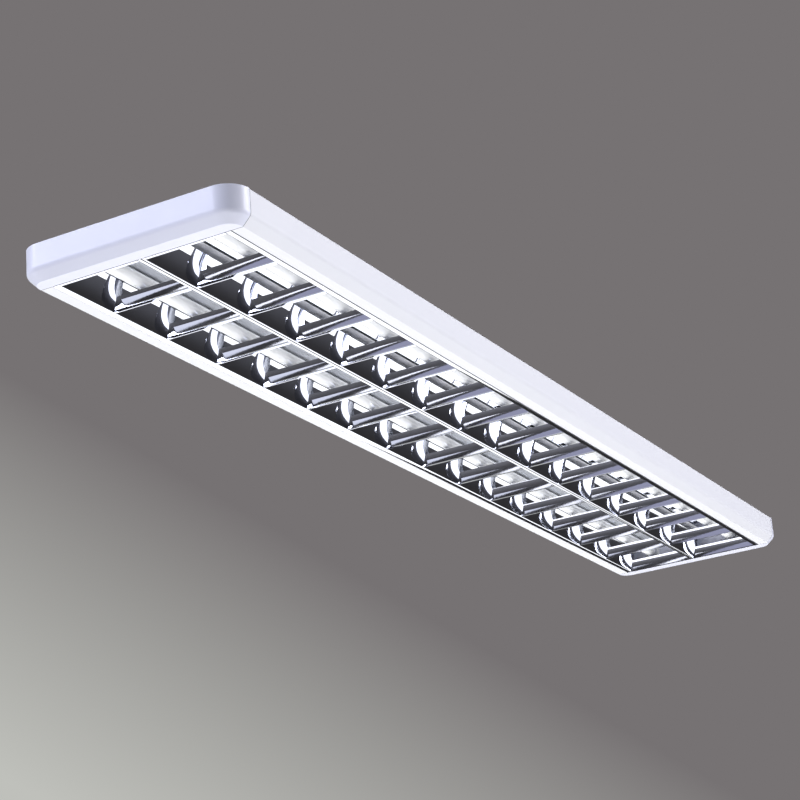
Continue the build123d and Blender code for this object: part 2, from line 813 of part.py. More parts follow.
def lamp_wires():
    """Four wires from the ballast's right plug to the back of the two right lampholders."""
    half = ballast_length / 2
    holder_back = bracket_x + holder_depth
    start = half - plug_hole_depth + wire_gap
    wires = []
    # Each row: plug hole, lane from the outside, side of the lamp's axis, depth below the back, lamp
    runs = (
        (2, 1, -1, wire_drop_low, lamp_offset),
        (3, 1, 1, wire_drop_high, lamp_offset),
        (4, 0, -1, wire_drop_low, -lamp_offset),
        (5, 0, 1, wire_drop_high, -lamp_offset),
    )
    for hole, lane, side, drop, lamp_y in runs:
        lane_y = tray_inside_y - wire_lane_inset - lane * wire_lane_pitch
        column_x = length / 2 - cap_wall - wire_column_inset - lane * wire_lane_pitch
        entry_y = lamp_y + side * holder_wire_offset
        points = [
            (start, plug_hole(hole), plug_hole_z()),
            (half + wire_lead, plug_hole(hole), plug_hole_z()),
            (half + wire_lead + wire_climb, lane_y, -drop),
            (column_x, lane_y, -drop),
            (column_x, entry_y, -drop),
            (holder_back - holder_wire_depth + wire_gap, entry_y, -drop),
        ]
        corner = wire_corner_bend - lane * wire_lane_pitch
        entry = column_x - holder_back - 2 * wire_gap
        wires.append(wire(points, [wire_bend, wire_bend, corner, entry]))
    return wires


def mains_wires():
    """Live and neutral from the terminal block to the ballast, and the earth wire to its tag."""
    half = ballast_length / 2
    plug_x = -(half - plug_hole_depth + wire_gap)
    wires = []
    for number in (0, 1):
        x = pole_places()[1 - number]
        lane_y = mains_lane_y + (1 - number) * mains_lane_pitch
        cross_x = mains_cross_x - number * mains_cross_pitch
        hole_y = plug_hole(number)
        points = [
            (x, mains_end_y, terminal_wire_z),
            (x, lane_y, terminal_wire_z),
            (x - mains_climb, lane_y, -mains_drop),
            (cross_x, lane_y, -mains_drop),
            (cross_x, hole_y, -mains_drop),
            (-(half + 2 * wire_lead), hole_y, plug_hole_z()),
            (plug_x, hole_y, plug_hole_z()),
        ]
        wires.append(wire(points, [wire_bend, wire_bend, wire_bend, mains_cross_bend, wire_bend]))
    x = pole_places()[2]
    tag_z = tray_inside_z - earth_tag_sheet - wire_radius - nut_gap
    points = [
        (x, mains_end_y, terminal_wire_z),
        (x, earth_lane_y, terminal_wire_z),
        (x + mains_climb, earth_lane_y, tag_z),
        (earth_x, earth_lane_y, tag_z),
        (earth_x, earth_end_y, tag_z),
    ]
    wires.append(wire(points, wire_bend))
    return wires


save(body_tray(), "body_tray")
cap_right, cap_left = at_both_ends(end_cap())
save(cap_right, "end_cap_right")
save(cap_left, "end_cap_left")
right_cap_screws = [cap_screw(side) for side in (-1, 1)]
save(group(right_cap_screws + [mirror(s, Plane.YZ) for s in right_cap_screws]), "end_cap_screws")

bracket_right, bracket_left = at_both_ends(holder_bracket())
save(bracket_right, "holder_bracket_right")
save(bracket_left, "holder_bracket_left")

for row, y in (("near", -lamp_offset), ("far", lamp_offset)):
    holder_right, holder_left = at_both_ends(lampholder(y))
    save(holder_right, "lampholder_" + row + "_right")
    save(holder_left, "lampholder_" + row + "_left")
    rotor_right, rotor_left = at_both_ends(rotor(y))
    save(rotor_right, "rotor_" + row + "_right")
    save(rotor_left, "rotor_" + row + "_left")
    save(lamp_tube(y), "lamp_tube_" + row)
    save(group(at_both_ends(lamp_cap(y))), "lamp_caps_" + row)

far_mirror = top_mirror()
save(far_mirror, "top_mirror_far")
save(mirror(far_mirror, Plane.XZ), "top_mirror_near")

save(hinged_side_reflector(), "side_reflector_far")
save(mirror(side_reflector(), Plane.XZ), "side_reflector_near")
spine_far, spine_near = at_both_sides(spine_reflector())
save(spine_far, "spine_reflector_far")
save(spine_near, "spine_reflector_near")
save(spine_joiner(), "spine_joiner")
for number in range(1, cell_count):
    save(cross_blade(number * pitch - opening_half_x), "cross_blade_%02d" % number)
end_right = end_blade()
save(group(at_both_sides(end_right)), "louvre_end_right")
save(group(at_both_sides(mirror(end_right, Plane.YZ))), "louvre_end_left")

hinge_xs = [-hinge_spacing / 2, hinge_spacing / 2]
save(group(hinge_pin(x) for x in hinge_xs), "hinge_pins")
save(group(ear for x in hinge_xs for ear in hinge_ears(x)), "hinge_ears")
save(group(hinge_tab(x) for x in hinge_xs), "hinge_tabs")
catch_xs = [-catch_spacing / 2, 0, catch_spacing / 2]
save(group(catch_tongue(x) for x in catch_xs), "catch_tongues")
save(group(catch_spring(x) for x in catch_xs), "catch_springs")

save(ballast_base(), "ballast_base")
save(ballast_lid(), "ballast_lid")
save(ballast_board(), "ballast_board")
save(group(ballast_parts()), "ballast_components")
save(group(ballast_plug(end) for end in (-1, 1)), "ballast_terminals")
save(terminal_block(), "terminal_block")
save(group(terminal_screws()), "terminal_screws")
save(earth_tag_plate(), "earth_tag")
save(grommet(), "cable_grommet")
save(cable_clamp(), "cable_clamp")
save(group(clamp_screws()), "cable_clamp_screws")

nuts = [nut(x, y, tray_inside_z - ballast_sheet) for x, y in tray_studs()[:2]]
nuts += [nut(x, y, tray_inside_z - bracket_sheet) for x, y in tray_studs()[2:6]]
nuts.append(nut(earth_x, 0, tray_inside_z - earth_tag_sheet))
save(group(nuts), "fixing_nuts")
right_wires = lamp_wires()
save(group(right_wires + [mirror(w, Plane.YZ) for w in right_wires]), "lamp_wires")
save(group(mains_wires()), "mains_wires")
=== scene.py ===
# %% [markdown]
# # A slim ceiling light with a mirror louvre
#
# The object is a long, flat steel tray with moulded end caps. Two tubes lie in it, and below them hangs
# a louvre of curved mirrors that keeps their light from shining into the eyes of the people in a room.
#
# The CAD model gives every piece its size and its place. This script gives the pieces their finish, and
# rebuilds the curved mirrors with enough facets to reflect cleanly. Sizes are in metres, in the CAD
# model's own frame: the ceiling is at Z = 0, and the light hangs below it.

# %% Load the frame
import json
import math

import bmesh
import bpy
from mathutils import Matrix, Vector


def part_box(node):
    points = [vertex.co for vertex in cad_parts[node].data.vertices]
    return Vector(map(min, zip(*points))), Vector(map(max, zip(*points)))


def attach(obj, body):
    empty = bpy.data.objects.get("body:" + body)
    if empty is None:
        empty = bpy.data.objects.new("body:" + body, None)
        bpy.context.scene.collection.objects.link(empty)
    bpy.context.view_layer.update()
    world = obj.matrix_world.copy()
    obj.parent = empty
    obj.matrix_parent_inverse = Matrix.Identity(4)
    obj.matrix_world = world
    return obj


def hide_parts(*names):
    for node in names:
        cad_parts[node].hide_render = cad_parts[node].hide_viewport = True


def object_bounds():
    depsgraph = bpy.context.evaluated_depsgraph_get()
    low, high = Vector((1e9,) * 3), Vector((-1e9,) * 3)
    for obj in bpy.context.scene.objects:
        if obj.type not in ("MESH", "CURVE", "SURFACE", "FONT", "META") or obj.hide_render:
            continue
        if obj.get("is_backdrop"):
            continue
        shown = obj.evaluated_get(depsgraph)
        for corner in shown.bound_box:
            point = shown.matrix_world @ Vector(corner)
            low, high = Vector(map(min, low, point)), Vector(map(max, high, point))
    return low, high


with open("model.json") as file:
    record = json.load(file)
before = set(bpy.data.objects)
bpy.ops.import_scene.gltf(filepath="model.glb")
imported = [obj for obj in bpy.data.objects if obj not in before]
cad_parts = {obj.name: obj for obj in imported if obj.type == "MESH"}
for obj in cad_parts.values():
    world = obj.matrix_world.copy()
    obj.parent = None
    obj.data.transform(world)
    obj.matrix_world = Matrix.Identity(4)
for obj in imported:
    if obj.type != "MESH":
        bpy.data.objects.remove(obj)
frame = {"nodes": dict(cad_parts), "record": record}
cad_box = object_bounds()
MM = 0.001
print("CAD box in mm:", [round(v / MM, 1) for corner in cad_box for v in corner])


# %% [markdown]
# ## Small helpers for materials
#
# Colours are written as they look on a screen, in sRGB hex, because that is how people read and pick
# them. The renderer works with linear light, so one function turns them over. A material is a graph of
# nodes. One more function adds a node together with its settings and its links, which keeps a whole
# graph readable as a list of calls. A texture's scale counts features per metre, so it is worked out
# from the size of a feature in millimetres.

# %% Colour and node helpers
def linear(hex_colour):
    """Linear RGBA of an sRGB hex colour such as 'E8E6E1'."""
    channels = [int(hex_colour[i:i + 2], 16) / 255 for i in (0, 2, 4)]
    return [c / 12.92 if c <= 0.04045 else ((c + 0.055) / 1.055) ** 2.4 for c in channels] + [1.0]


def add(tree, kind, settings, sockets):
    """Add a node. Sockets are named or numbered, and hold a value or an output to link from."""
    node = tree.nodes.new(kind)
    for name, value in settings.items():
        setattr(node, name, value)
    for name, value in sockets.items():
        if isinstance(value, bpy.types.NodeSocket):
            tree.links.new(value, node.inputs[name])
        else:
            node.inputs[name].default_value = value
    return node


def new_material(name):
    """An empty material with its tree and its output node."""
    material = bpy.data.materials.new(name)
    material.use_nodes = True
    tree = material.node_tree
    tree.nodes.clear()
    return material, tree, add(tree, "ShaderNodeOutputMaterial", {}, {})


def texture_scale(feature_mm):
    """Scale of a texture whose features are about this many millimetres across."""
    return 1 / (feature_mm * MM)


print("linear value of mid grey:", round(linear("808080")[0], 3))


# %% [markdown]
# ## Mirror aluminium
#
# The reflectors are rolled from anodised aluminium strip with a specular finish. It is nearly a mirror,
# with a faint cool tint. Rolling leaves very fine lines along the strip, which pull each highlight out
# a little across them, and handling leaves patches that are slightly duller than the rest.
#
# The lines could be painted into an image, but an image would show its pixels in a mirror seen from so
# close. A noise that is stretched along the strip has no pixels, and needs no unwrapped surface. It
# bends the normal by a very small amount. A second, wide noise moves the roughness up and down.

# %% Mirror aluminium
def mirror_aluminium(name, colour, sharpest, dullest, waviness):
    material, tree, output = new_material(name)
    place = add(tree, "ShaderNodeTexCoord", {}, {})
    stretch = add(tree, "ShaderNodeMapping", {}, {"Vector": place.outputs["Object"], "Scale": (0.02, 1, 1)})
    lines = add(tree, "ShaderNodeTexNoise", {}, {
        "Vector": stretch.outputs["Vector"], "Scale": texture_scale(6), "Detail": 3.0})
    ripple = add(tree, "ShaderNodeBump", {}, {
        "Height": lines.outputs["Fac"], "Strength": waviness, "Distance": 0.2 * MM})
    patches = add(tree, "ShaderNodeTexNoise", {}, {
        "Vector": place.outputs["Object"], "Scale": texture_scale(60), "Detail": 4.0})
    dulling = add(tree, "ShaderNodeMapRange", {}, {
        "Value": patches.outputs["Fac"], "From Min": 0.35, "From Max": 0.75,
        "To Min": sharpest, "To Max": dullest})
    shader = add(tree, "ShaderNodeBsdfPrincipled", {}, {
        "Base Color": linear(colour), "Metallic": 1.0,
        "Roughness": dulling.outputs["Result"], "Normal": ripple.outputs["Normal"]})
    add_surface(tree, shader, output)
    return material


def add_surface(tree, shader, output):
    """Link a shader to the material's output. A shader node's first output is the shader."""
    tree.links.new(shader.outputs[0], output.inputs["Surface"])


reflector_aluminium = mirror_aluminium("specular_anodised_aluminium", "F1F3F8", 0.025, 0.05, 0.02)
blade_aluminium = mirror_aluminium("bright_rolled_aluminium", "ECEEF8", 0.03, 0.06, 0.04)
print("made", reflector_aluminium.name, "and", blade_aluminium.name)


# %% [markdown]
# ## Paint, plastics, glass and rubber
#
# Powder coat is melted onto the steel in an oven. It never levels out fully, so its gloss shows a
# shallow grain about a millimetre across, called orange peel. Moulded plastic takes the finer grain of
# its tool. Both also vary very slightly in tone and gloss over a few centimetres.
#
# All of these are the same kind of surface with other numbers, so one function makes them: a fine noise
# for the grain, and a wide one for tone and gloss. The clear glass of a tube lies over its white powder,
# which is a coat over a matt base. Where the end caps meet the tray, a fine dark line on both is a
# painted shadow with a little dust, drawn into their colour.

# %% Painted and moulded surfaces
# The dark line at both cap joints is a painted shadow with a little dust in it.
CAP_JOINT_X = 718.6 * MM
JOINT_SHADOW_HALF = 0.35 * MM
JOINT_SHADOW_AND_DUST = "2E3036"


def paint_joint_shadow_and_dust(tree, place, tone, strength):
    """The tone, darkened by a painted shadow with a little dust in a narrow band at both cap joints."""
    split = add(tree, "ShaderNodeSeparateXYZ", {}, {"Vector": place.outputs["Object"]})
    reach = add(tree, "ShaderNodeMath", {"operation": "ABSOLUTE"}, {0: split.outputs["X"]})
    band = add(tree, "ShaderNodeMath", {"operation": "COMPARE"}, {
        0: reach.outputs["Value"], 1: CAP_JOINT_X, 2: JOINT_SHADOW_HALF})
    share = add(tree, "ShaderNodeMath", {"operation": "MULTIPLY"}, {0: band.outputs["Value"], 1: strength})
    return add(tree, "ShaderNodeMix", {"data_type": "RGBA"}, {
        "Factor": share.outputs["Value"], 6: tone.outputs[2], 7: linear(JOINT_SHADOW_AND_DUST)})


def skin(name, colour, roughness, grain_mm, grain_strength, patch_mm=30, mottle=0.04, coat=0.0, joint_shadow_and_dust=0.0):
    """A skin of even colour, with a fine grain and slight changes of tone and gloss."""
    material, tree, output = new_material(name)
    place = add(tree, "ShaderNodeTexCoord", {}, {})
    grain = add(tree, "ShaderNodeTexNoise", {}, {
        "Vector": place.outputs["Object"], "Scale": texture_scale(grain_mm), "Detail": 2.0})
    peel = add(tree, "ShaderNodeBump", {}, {
        "Height": grain.outputs["Fac"], "Strength": grain_strength, "Distance": 0.1 * MM})
    patches = add(tree, "ShaderNodeTexNoise", {}, {
        "Vector": place.outputs["Object"], "Scale": texture_scale(patch_mm), "Detail": 3.0})
    light_tone = linear(colour)
    deep_tone = [c * (1 - mottle) for c in light_tone[:3]] + [1.0]
    tone = add(tree, "ShaderNodeMix", {"data_type": "RGBA"}, {
        "Factor": patches.outputs["Fac"], 6: light_tone, 7: deep_tone})
    # Where asked, a painted shadow with a little dust darkens the tone at the cap joints.
    if joint_shadow_and_dust:
        tone = paint_joint_shadow_and_dust(tree, place, tone, joint_shadow_and_dust)
    gloss = add(tree, "ShaderNodeMapRange", {}, {
        "Value": patches.outputs["Fac"], "To Min": roughness * 0.85, "To Max": roughness * 1.15})
    shader = add(tree, "ShaderNodeBsdfPrincipled", {}, {
        "Base Color": tone.outputs[2], "Roughness": gloss.outputs["Result"],
        "Normal": peel.outputs["Normal"], "Coat Weight": coat, "Coat Roughness": 0.03})
    add_surface(tree, shader, output)
    return material


finishes = {
    # The tray and the caps both carry the painted shadow at their joints.
    "painted_steel": skin("white_powder_coat", "F2F2F5", 0.42, 1.2, 0.12, joint_shadow_and_dust=0.9),
    "painted_bracket": skin("white_coated_bracket", "DDDEE8", 0.4, 1.2, 0.12),
    "cap_plastic": skin("moulded_white_cap", "EDEEFA", 0.35, 0.8, 0.08, joint_shadow_and_dust=0.9),
    "holder_plastic": skin("moulded_white_holder", "EFEFEC", 0.4, 0.6, 0.06),
    "rotor_plastic": skin("moulded_black_rotor", "141416", 0.35, 0.6, 0.06),
    "terminal_plastic": skin("moulded_white_terminal", "EDEDE8", 0.45, 0.6, 0.05),
    "clamp_plastic": skin("moulded_white_clamp", "E6E6E2", 0.45, 0.6, 0.05),
    "component_case": skin("dark_component_cases", "2B2B33", 0.4, 0.6, 0.05),
    "circuit_board": skin("green_solder_resist", "2C6B3A", 0.3, 2.0, 0.1, 8, 0.25),
    "wire_mains": skin("brown_wire_sleeve", "5A3A26", 0.4, 0.6, 0.03),
    "wire_lamp": skin("white_wire_sleeve", "E4E4DF", 0.4, 0.6, 0.03),
    "rubber": skin("black_rubber", "1B1B1B", 0.7, 0.6, 0.2),
    "lamp_glass": skin("white_powder_under_glass", "F4F4F1", 0.6, 0.2, 0.02, 90, 0.02, 1.0),
}
print(len(finishes), "painted and moulded surfaces")


# %% [markdown]
# ## Bare metals
#
# Screws, clips and springs are plated or oiled, and carry fine marks from drawing and turning. The
# ballast's case is galvanised sheet, whose zinc freezes into flat crystals a few millimetres wide.
#
# Drawing marks are a noise that is squeezed in one direction. The crystals are the cells of a Voronoi
# texture, each with its own tone, because a crystal is flat and its neighbours tilt another way.

# %% Bare metals
def drawn_metal(name, colour, roughness):
    material, tree, output = new_material(name)
    place = add(tree, "ShaderNodeTexCoord", {}, {})
    squeeze = add(tree, "ShaderNodeMapping", {}, {"Vector": place.outputs["Object"], "Scale": (0.1, 1, 1)})
    marks = add(tree, "ShaderNodeTexNoise", {}, {
        "Vector": squeeze.outputs["Vector"], "Scale": texture_scale(0.4), "Detail": 4.0})
    scratch = add(tree, "ShaderNodeBump", {}, {
        "Height": marks.outputs["Fac"], "Strength": 0.12, "Distance": 0.05 * MM})
    gloss = add(tree, "ShaderNodeMapRange", {}, {
        "Value": marks.outputs["Fac"], "To Min": roughness * 0.75, "To Max": roughness * 1.25})
    shader = add(tree, "ShaderNodeBsdfPrincipled", {}, {
        "Base Color": linear(colour), "Metallic": 1.0,
        "Roughness": gloss.outputs["Result"], "Normal": scratch.outputs["Normal"]})
    add_surface(tree, shader, output)
    return material


def galvanised_metal(name, light_colour, deep_colour):
    material, tree, output = new_material(name)
    place = add(tree, "ShaderNodeTexCoord", {}, {})
    crystals = add(tree, "ShaderNodeTexVoronoi", {}, {
        "Vector": place.outputs["Object"], "Scale": texture_scale(5)})
    tone = add(tree, "ShaderNodeMix", {"data_type": "RGBA"}, {
        "Factor": crystals.outputs["Color"], 6: linear(light_colour), 7: linear(deep_colour)})
    gloss = add(tree, "ShaderNodeMapRange", {}, {
        "Value": crystals.outputs["Color"], "To Min": 0.28, "To Max": 0.45})
    shader = add(tree, "ShaderNodeBsdfPrincipled", {}, {
        "Base Color": tone.outputs[2], "Metallic": 1.0, "Roughness": gloss.outputs["Result"]})
    add_surface(tree, shader, output)
    return material


finishes["cap_aluminium"] = drawn_metal("drawn_aluminium", "D5D6D9", 0.25)
finishes["zinc_steel"] = drawn_metal("zinc_plated_steel", "C6C8CC", 0.3)
finishes["spring_steel"] = drawn_metal("blued_spring_steel", "8E9096", 0.3)
finishes["brass"] = drawn_metal("turned_brass", "D8B873", 0.3)
finishes["ballast_steel"] = galvanised_metal("galvanised_sheet", "CDD0D4", "B4B8BE")
finishes["reflector_mirror"] = reflector_aluminium
finishes["blade_mirror"] = blade_aluminium
print(len(finishes), "surfaces in all")


# %% [markdown]
# ## Finish the CAD pieces
#
# The frame's record names a material slot for every node. Looking the finish up by slot means that two
# pieces made of one material always look the same.

# %% Finish the CAD pieces
slot_of = {row["node"]: row["material_slot"] for row in frame["record"]["subparts"]}
for node, thing in frame["nodes"].items():
    thing.data.materials.clear()
    thing.data.materials.append(finishes[slot_of[node]])
print(len(slot_of), "CAD nodes finished")


# %% [markdown]
# ## Sections of bent sheet
#
# Every mirror of the louvre is thin sheet, bent to an arc that starts steep at the foot and leans over
# more and more towards the top. That is the shape which throws a tube's light down and holds it back
# to the sides.
#
# A mirror shows every facet of its mesh, so these pieces are not taken from the CAD's mesh. Their
# sections are drawn here as points on the same arc, closer together than the CAD's mesh has them, and
# thickened to the sheet's gauge.

# %% Sections of bent sheet
ARC_STEPS = 40


def leaning_arc(foot, lean_bottom, lean_top, rise, outward):
    """Points of an arc that climbs a height while its lean from upright grows."""
    low, high = math.radians(lean_bottom), math.radians(lean_top)
    radius = rise / (math.sin(high) - math.sin(low))
    points = []
    for step in range(ARC_STEPS + 1):
        lean = low + (high - low) * step / ARC_STEPS
        across = foot[0] + outward * radius * (math.cos(low) - math.cos(lean))
        up = foot[1] + radius * (math.sin(lean) - math.sin(low))
        points.append((across, up))
    return points


def thicken(points, thickness):
    """Closed outline of a sheet that follows the points, thickened to their left."""
    offset = []
    last = len(points) - 1
    for i, (a, b) in enumerate(points):
        before = points[max(i - 1, 0)]
        after = points[min(i + 1, last)]
        normals = []
        for p, q in ((before, (a, b)), ((a, b), after)):
            run = math.hypot(q[0] - p[0], q[1] - p[1])
            if run > 1e-9:
                normals.append((-(q[1] - p[1]) / run, (q[0] - p[0]) / run))
        nx = sum(n[0] for n in normals)
        ny = sum(n[1] for n in normals)
        size = math.hypot(nx, ny)
        nx, ny = nx / size, ny / size
        grow = thickness / (nx * normals[0][0] + ny * normals[0][1])
        offset.append((a + nx * grow, b + ny * grow))
    return points + offset[::-1]


print("an arc has", ARC_STEPS + 1, "points")


# %% [markdown]
# ## From section to piece
#
# A strip of sheet is its section, repeated at both ends and joined by long quads. The two end faces
# are built as narrow quads across the sheet, because one face with eighty corners would shade badly.
# Smooth shading runs round the arc, and the sheet's own edges stay sharp.

# %% From section to piece
SHARP_DEGREES = 30


def make_piece(name, vertices, faces, material):
    """A mesh piece of the louvre, with smooth arcs and sharp edges."""
    mesh = bpy.data.meshes.new(name)
    mesh.from_pydata([tuple(v) for v in vertices], [], faces)
    work = bmesh.new()
    work.from_mesh(mesh)
    bmesh.ops.recalc_face_normals(work, faces=work.faces)
    work.to_mesh(mesh)
    work.free()
    mesh.shade_smooth()
    mesh.set_sharp_from_angle(angle=math.radians(SHARP_DEGREES))
    mesh.materials.append(material)
    piece = bpy.data.objects.new(name, mesh)
    bpy.context.collection.objects.link(piece)
    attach(piece, "louvre")
    return piece


def join_loops(loop_a, loop_b, base=0):
    """Faces of a tube between two equal loops, with a strip of quads as each end."""
    count = len(loop_a)
    faces = []
    for i in range(count):
        j = (i + 1) % count
        faces.append((base + i, base + j, base + count + j, base + count + i))
    for end in (0, count):
        for i in range(count // 2 - 1):
            faces.append(tuple(base + end + k for k in (i, i + 1, count - 2 - i, count - 1 - i)))
    return list(loop_a) + list(loop_b), faces


print("edges sharper than", SHARP_DEGREES, "degrees stay sharp")


# %% [markdown]
# ## Side and spine mirrors
#
# Two long mirrors line the sides of the louvre, and two more stand back to back along its middle as a
# spine. Each has a narrow flange at its foot, which closes the edge of the opening. Sheet can't be
# folded to a sharp corner, so flange and mirror meet in a rolled bend. It shows as the fine bright
# line that runs along the foot of each mirror. Where the two spine mirrors meet, their flanges spring
# back by less than half a millimetre and leave a shallow groove, which parts the spine's foot into a
# light line and a dark one.
#
# Only the far half is drawn. The near half is its mirror image, as it is on the real louvre.

# %% Side and spine mirrors
side_low, side_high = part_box("side_reflector_far")
spine_low, spine_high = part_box("spine_reflector_far")
lip_z = side_low.z
SHEET = 0.4 * MM
FLANGE = 6.4 * MM
REFLECTOR_RISE = 27 * MM
SIDE_LEAN = (20, 50)
SPINE_LEAN = (22, 55)
SPINE_HALF = 3.4 * MM
BEND = 1.2 * MM
BEND_STEPS = 8
SPINE_DISH = 0.45 * MM
side_curve = leaning_arc((side_high.y - FLANGE, lip_z), *SIDE_LEAN, REFLECTOR_RISE, -1)
spine_curve = leaning_arc((SPINE_HALF, lip_z), *SPINE_LEAN, REFLECTOR_RISE, 1)


def flange_and_curve(edge, curve, dish):
    """A flange that starts at its outer edge, raised by the dish, then a bend and the curve."""
    corner = curve[0]
    toward = 1 if edge < corner[0] else -1
    start = (corner[0] - toward * BEND, corner[1])
    end = next(point for point in curve if point[1] - corner[1] >= BEND)
    rolled = []
    for step in range(BEND_STEPS + 1):
        t = step / BEND_STEPS
        rolled.append(tuple((1 - t) ** 2 * a + 2 * t * (1 - t) * b + t ** 2 * c
                            for a, b, c in zip(start, corner, end)))
    return [(edge, corner[1] + dish)] + rolled + [point for point in curve if point[1] > end[1]]


def long_mirror(kind, row, outline, half):
    """One long mirror of the far row, or its mirror image in the near row."""
    loops = [[(x, half * y, z) for y, z in outline] for x in (side_low.x, side_high.x)]
    piece = make_piece(kind + "_mirror_" + row, *join_loops(*loops), reflector_aluminium)
    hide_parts(kind + "_reflector_" + row)


side_outline = thicken(flange_and_curve(side_high.y, side_curve, 0), -SHEET)
spine_outline = thicken(flange_and_curve(spine_low.y, spine_curve, SPINE_DISH), SHEET)
for row, half in (("far", 1), ("near", -1)):
    long_mirror("side", row, side_outline, half)
    long_mirror("spine", row, spine_outline, half)
foot_y, top_y = (round(side_curve[i][0] / MM, 1) for i in (0, -1))
print("side mirror leans in from", foot_y, "to", top_y, "mm")


# %% [markdown]
# ## Cross blades
#
# Fourteen blades cross the long mirrors and part the louvre into cells. A blade is one strip folded
# into a narrow V, with the fold downwards. It fits between the curved mirrors, so its ends follow
# their arcs. Each point of its section is therefore run from the spine's curve to the side's curve at
# its own height, rather than cut to a flat end that would leave gaps of dark tray in view.

# %% Cross blades
BLADE_COUNT = 14
BLADE_HALF = 7.0 * MM
BLADE_FOOT = 0.6 * MM
BLADE_RISE = 14.5 * MM
BLADE_LEAN = 10
END_GAP = 0.15 * MM
chord_lean = math.degrees(math.atan2(BLADE_HALF - BLADE_FOOT, BLADE_RISE))
blade_curve = leaning_arc((BLADE_FOOT, lip_z), BLADE_LEAN, 2 * chord_lean - BLADE_LEAN, BLADE_RISE, 1)


def curve_at(curve, z):
    """Distance across of a mirror's curve at a height."""
    for (y0, z0), (y1, z1) in zip(curve, curve[1:]):
        if z0 <= z <= z1:
            return y0 + (y1 - y0) * (z - z0) / (z1 - z0)
    return curve[0][0] if z < curve[0][1] else curve[-1][0]


def crossing(name, outline, x, replaced):
    """A strip across both rows of cells, cut at its ends to the curves of the mirrors."""
    vertices, faces = [], []
    for half in (-1, 1):
        inner = [(x + a, half * (curve_at(spine_curve, z) + END_GAP), z) for a, z in outline]
        outer = [(x + a, half * (curve_at(side_curve, z) - END_GAP), z) for a, z in outline]
        more, quads = join_loops(inner, outer, len(vertices))
        vertices += more
        faces += quads
    piece = make_piece(name, vertices, faces, blade_aluminium)
    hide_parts(replaced)


blade_outline = thicken([(-a, z) for a, z in blade_curve[::-1]] + blade_curve, SHEET)
for number in range(1, BLADE_COUNT + 1):
    node = "cross_blade_%02d" % number
    low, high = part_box(node)
    crossing("blade_%02d" % number, blade_outline, (low.x + high.x) / 2, node)
print(BLADE_COUNT, "blades, each", round(BLADE_RISE / MM, 1), "mm high")


# %% [markdown]
# ## Louvre ends
#
# The first and the last cell end in half a blade, with a small flange at its foot that meets the end
# cap. It is the same arc as a blade's, so the end cells look like all the others.

# %% Louvre ends
END_FLANGE = 2.7 * MM
for end, outward in (("right", 1), ("left", -1)):
    low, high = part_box("louvre_end_" + end)
    edge = high.x if outward > 0 else low.x
    slope = [(-outward * (END_FLANGE + a), z) for a, z in blade_curve]
    outline = thicken([(0, lip_z), (-outward * END_FLANGE, lip_z)] + slope, -outward * SHEET)
    crossing("end_slope_" + end, outline, edge, "louvre_end_" + end)
print("louvre ends flange is", round(END_FLANGE / MM, 1), "mm wide")


# %% [markdown]
# ## Floor and backdrop
#
# The light hangs, so the floor is far below it, and the camera looks up past the light at the backdrop.
# The floor shows its upper side only. From under it, a camera looks through it at the light above.
# The backdrop is grey paper that gets lighter towards the lower left. It is built in the world rather
# than as a wall, because a wall would have to end somewhere and would show up in the mirrors.
#
# The grey depends on the direction of sight only, through one slanted axis. The mirrors see the same
# backdrop as the camera. Matt surfaces get a dim, even light from it, so that the cells keep their
# depth.

# %% Floor and backdrop
FLOOR_Z = -2.6
FLOOR_RADIUS = 40.0
BACKDROP_AXIS = (-0.0784, 0.5972, -0.7983)
BACKDROP_FADE = 0.153

bpy.ops.mesh.primitive_circle_add(
    vertices=128, radius=FLOOR_RADIUS, fill_type="NGON", location=(0, 0, FLOOR_Z))
floor = bpy.context.object
floor.name = "floor"
floor_paint, tree, output = new_material("pale_floor")
matt = add(tree, "ShaderNodeBsdfPrincipled", {}, {"Base Color": linear("E6E4E0"), "Roughness": 0.9})
clear = add(tree, "ShaderNodeBsdfTransparent", {}, {})
side = add(tree, "ShaderNodeNewGeometry", {}, {})
one_sided = add(tree, "ShaderNodeMixShader", {}, {
    "Fac": side.outputs["Backfacing"], 1: matt.outputs["BSDF"], 2: clear.outputs["BSDF"]})
add_surface(tree, one_sided, output)
floor.data.materials.append(floor_paint)
floor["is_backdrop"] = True

world = bpy.data.worlds.new("studio")
bpy.context.scene.world = world
world.use_nodes = True
tree = world.node_tree
tree.nodes.clear()
gaze = add(tree, "ShaderNodeTexCoord", {}, {})
along = add(tree, "ShaderNodeVectorMath", {"operation": "DOT_PRODUCT"}, {
    0: gaze.outputs["Generated"], 1: BACKDROP_AXIS})
fade = add(tree, "ShaderNodeMapRange", {}, {"Value": along.outputs["Value"], "From Max": BACKDROP_FADE})
paper = add(tree, "ShaderNodeMix", {"data_type": "RGBA"}, {
    "Factor": fade.outputs["Result"], 6: linear("767273"), 7: linear("BFC0BB")})
rays = add(tree, "ShaderNodeLightPath", {}, {})
direct = add(tree, "ShaderNodeMath", {"operation": "MAXIMUM"}, {
    0: rays.outputs["Is Camera Ray"], 1: rays.outputs["Is Glossy Ray"]})
seen = add(tree, "ShaderNodeMath", {"operation": "MAXIMUM"}, {
    0: direct.outputs["Value"], 1: rays.outputs["Is Transmission Ray"]})
shown = add(tree, "ShaderNodeMix", {"data_type": "RGBA"}, {
    "Factor": seen.outputs["Value"], 6: linear("2A2A2E"), 7: paper.outputs[2]})
backdrop = add(tree, "ShaderNodeBackground", {}, {"Color": shown.outputs[2], "Strength": 1.0})
add(tree, "ShaderNodeOutputWorld", {}, {"Surface": backdrop.outputs["Background"]})
print("floor is", -FLOOR_Z, "m below the ceiling")


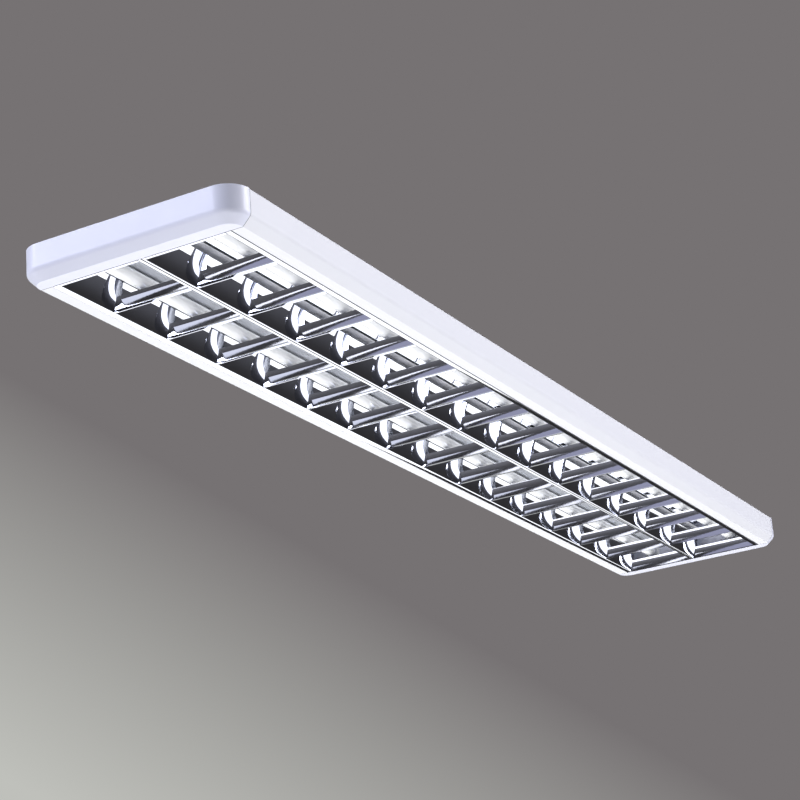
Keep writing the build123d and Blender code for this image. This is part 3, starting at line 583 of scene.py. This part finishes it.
# %% [markdown]
# ## Studio lights
#
# Two large softboxes stand at ceiling height, out of the mirrors' sight. One lights the long side and
# one the end, and the rounded corner between them stays darker, which makes it read as round. Grids
# keep their light off the floor. A small softbox low in front fills the slope below the end face. A
# wide panel near the floor is the light that the mirrors show, and it also lights the body from below.
#
# Mirrors have no brightness of their own: they only show what stands around them. Three narrow strips
# stand where the blades' faces point, and give them bright streaks between dark bands.

# %% Studio lights
def soft_light(name, place, aim, size, watts, colour, spread=180):
    """A rectangular light. Its spread, in degrees, is that of a grid on its front."""
    data = bpy.data.lights.new(name, "AREA")
    data.shape = "RECTANGLE"
    data.size, data.size_y = size
    data.energy = watts
    data.color = linear(colour)[:3]
    data.spread = math.radians(spread)
    light = bpy.data.objects.new(name, data)
    light.location = place
    light.rotation_euler = (Vector(aim) - Vector(place)).to_track_quat("-Z", "Y").to_euler()
    bpy.context.collection.objects.link(light)


CENTRE = (0, 0, 0)
soft_light("floor_panel", (2.3, 0.9, -2.5), (2.3, 0.9, 0), (7.7, 5.4), 222, "FCFDFF")
soft_light("side_softbox", (2.0, -3.6, 1.7), CENTRE, (2.6, 2.6), 39, "F4F5FF", 70)
soft_light("end_softbox", (-3.1, 2.4, 2.1), (-0.5, 0, 0), (2.6, 2.6), 30, "E6EAFF", 70)
soft_light("low_softbox", (-3.3, -1.3, -2.2), (-0.5, 0, 0), (1.5, 1.5), 9, "F0F3FF", 70)
STRIP_X = -2.95
STRIPS = (("far_row_strip", 1.74, -0.9, 0.36, 1.25, 1.2, "EDF1FF"),
          ("near_row_strip", 1.385, -0.9, 0.06, 1.25, 0.35, "F6F8FF"),
          ("far_end_strip", 1.08, -1.35, 0.38, 2.3, 1.1, "DDDFFF"))
for name, y, z, width, height, watts, colour in STRIPS:
    soft_light(name, (STRIP_X, y, z), (0, y, z), (width, height), watts, colour)
print("4 large lights and", len(STRIPS), "strips")


# %% [markdown]
# ## Camera
#
# The camera is below the ceiling at one end of the light and looks up along it, with a long lens. Its
# place, its lens and its slight roll were found by matching the corners of the body and the crossings
# of the louvre with the view they should have.

# %% Camera
EYE = Vector((-2376.6, -1148.0, -937.7)) * MM
AZIMUTH = 27.73
ELEVATION = 20.05
ROLL = -4.63
camera_data = bpy.data.cameras.new("camera")
camera_data.lens = 99.92
camera_data.sensor_width = 36
camera_data.clip_end = 100
camera = bpy.data.objects.new("camera", camera_data)
azimuth, elevation = math.radians(AZIMUTH), math.radians(ELEVATION)
level = math.cos(elevation)
forward = Vector((level * math.cos(azimuth), level * math.sin(azimuth), math.sin(elevation)))
roll = Matrix.Rotation(math.radians(ROLL), 3, "Z")
camera.matrix_world = Matrix.Translation(EYE) @ (forward.to_track_quat("-Z", "Y").to_matrix() @ roll).to_4x4()
bpy.context.collection.objects.link(camera)
bpy.context.scene.camera = camera
bpy.context.scene.view_settings.view_transform = "Standard"
print("camera is", round(EYE.length, 2), "m from the middle of the light")


visual_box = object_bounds()
grown = max(abs(a - b) for p, q in zip(cad_box, visual_box) for a, b in zip(p, q))
print("boxes differ by", round(grown / MM, 3), "mm")
